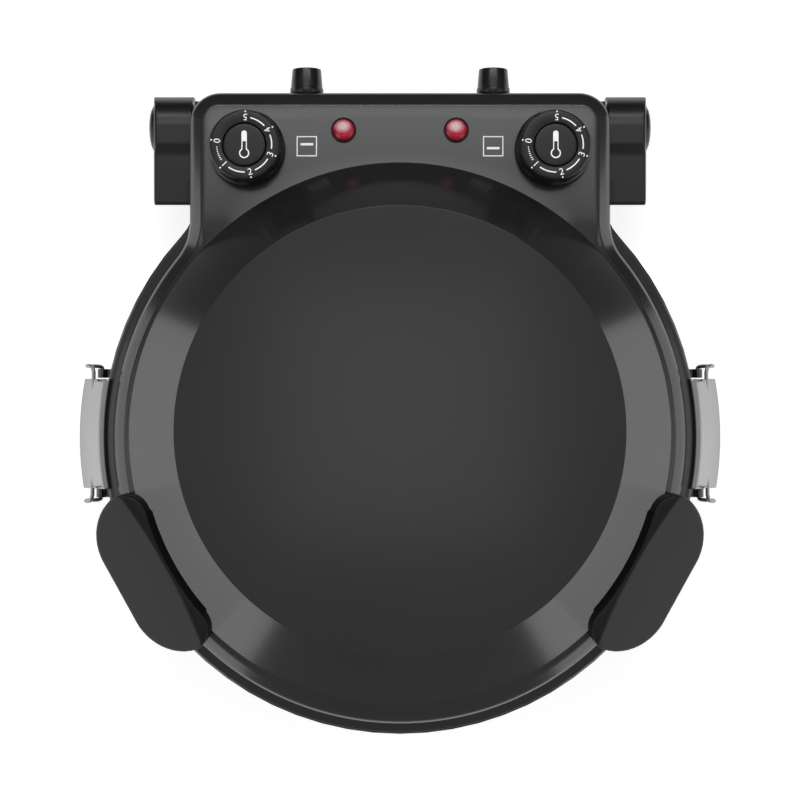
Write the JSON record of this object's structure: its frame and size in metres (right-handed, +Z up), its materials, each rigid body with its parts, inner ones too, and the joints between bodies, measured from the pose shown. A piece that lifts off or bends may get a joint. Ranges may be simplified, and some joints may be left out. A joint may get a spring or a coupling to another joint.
{
  "type": "electric pizza maker",
  "caption": "Round countertop pizza maker with a hinged domed lid, rear console with knobs and lamps, side clips, and a baking stone between heating elements.",
  "frame": {"origin": "middle of the whole outline, on the plane that the feet stand on", "axes": "+Z up, +Y towards the hinge, +X to the right seen from the front"},
  "size_m": [0.4008, 0.413, 0.1313],
  "materials": {
    "anthracite_enamel": "gloss",
    "dark_plate": "matte",
    "zinc_steel": "satin",
    "black_rubber": "matte",
    "bright_sheet": "satin",
    "element_sheath": "matte",
    "cordierite": "matte",
    "black_plastic": "satin",
    "clip_steel": "polished",
    "steatite": "matte",
    "knob_plastic": "satin",
    "red_lens": "gloss",
    "white_plastic": "satin"
  },
  "bodies": {
    "base": {"base_bowl": "anthracite_enamel", "bottom_cover": "dark_plate", "bottom_screws": "zinc_steel", "feet": "black_rubber", "foot_screws": "zinc_steel", "heat_pan": "bright_sheet", "lower_element": "element_sheath", "lower_element_clips": "zinc_steel", "baking_stone": "cordierite", "stone_clips": "bright_sheet", "cord_bush": "black_rubber", "left_bracket": "black_plastic", "right_bracket": "black_plastic", "bracket_screws": "zinc_steel", "hinge_pins": "zinc_steel", "left_clip_base": "clip_steel", "right_clip_base": "clip_steel", "clip_rivets": "clip_steel"},
    "lid": {"lid_cover": "anthracite_enamel", "lid_frame": "anthracite_enamel", "lid_dish": "bright_sheet", "upper_element": "element_sheath", "upper_element_clips": "zinc_steel", "console_housing": "black_plastic", "housing_screws": "zinc_steel", "rear_posts": "black_rubber", "left_handle": "black_plastic", "right_handle": "black_plastic", "handle_screws": "zinc_steel", "left_thermostat": "steatite", "right_thermostat": "steatite", "left_lamp": "red_lens", "right_lamp": "red_lens", "lamp_bezels": "knob_plastic", "lamp_holders": "white_plastic"},
    "left_dial": {"left_spindle": "zinc_steel", "left_knob": "knob_plastic", "left_knob_cap": "knob_plastic"},
    "right_dial": {"right_spindle": "zinc_steel", "right_knob": "knob_plastic", "right_knob_cap": "knob_plastic"},
    "left_bail": {"left_clip_wire": "clip_steel"},
    "right_bail": {"right_clip_wire": "clip_steel"},
    "left_plate": {"left_clip_lever": "clip_steel"},
    "right_plate": {"right_clip_lever": "clip_steel"}
  },
  "joints": [
    {"name": "lid_hinge", "type": "hinge", "parent": "base", "child": "lid", "pos_m": [0, 0.17285, 0.045], "axis": [-1, 0, 0], "range_deg": [0, 106]},
    {"name": "left_dial_turn", "type": "hinge", "parent": "lid", "child": "left_dial", "pos_m": [-0.0935, 0.15405, 0.1], "axis": [0, 0, -1], "range_deg": [0, 276]},
    {"name": "right_dial_turn", "type": "hinge", "parent": "lid", "child": "right_dial", "pos_m": [0.0935, 0.15405, 0.1], "axis": [0, 0, -1], "range_deg": [0, 276]},
    {"name": "left_bail_swing", "type": "hinge", "parent": "base", "child": "left_bail", "pos_m": [-0.18849, -0.02018, 0.05], "axis": [-0.0105, -0.9999, 0], "range_deg": [-4, 100]},
    {"name": "right_bail_swing", "type": "hinge", "parent": "base", "child": "right_bail", "pos_m": [0.18849, -0.02018, 0.05], "axis": [-0.0105, 0.9999, 0], "range_deg": [-4, 100]},
    {"name": "left_plate_turn", "type": "hinge", "parent": "left_bail", "child": "left_plate", "pos_m": [-0.19099, -0.02015, 0.0698], "axis": [-0.0105, -0.9999, 0], "range_deg": [-80, 3.2]},
    {"name": "right_plate_turn", "type": "hinge", "parent": "right_bail", "child": "right_plate", "pos_m": [0.19099, -0.02015, 0.0698], "axis": [-0.0105, 0.9999, 0], "range_deg": [-80, 3.2]}
  ],
  "couplings": [
    {"joint": "left_plate_turn", "follows": "left_bail_swing", "ratio": -0.8},
    {"joint": "right_plate_turn", "follows": "right_bail_swing", "ratio": -0.8}
  ]
}
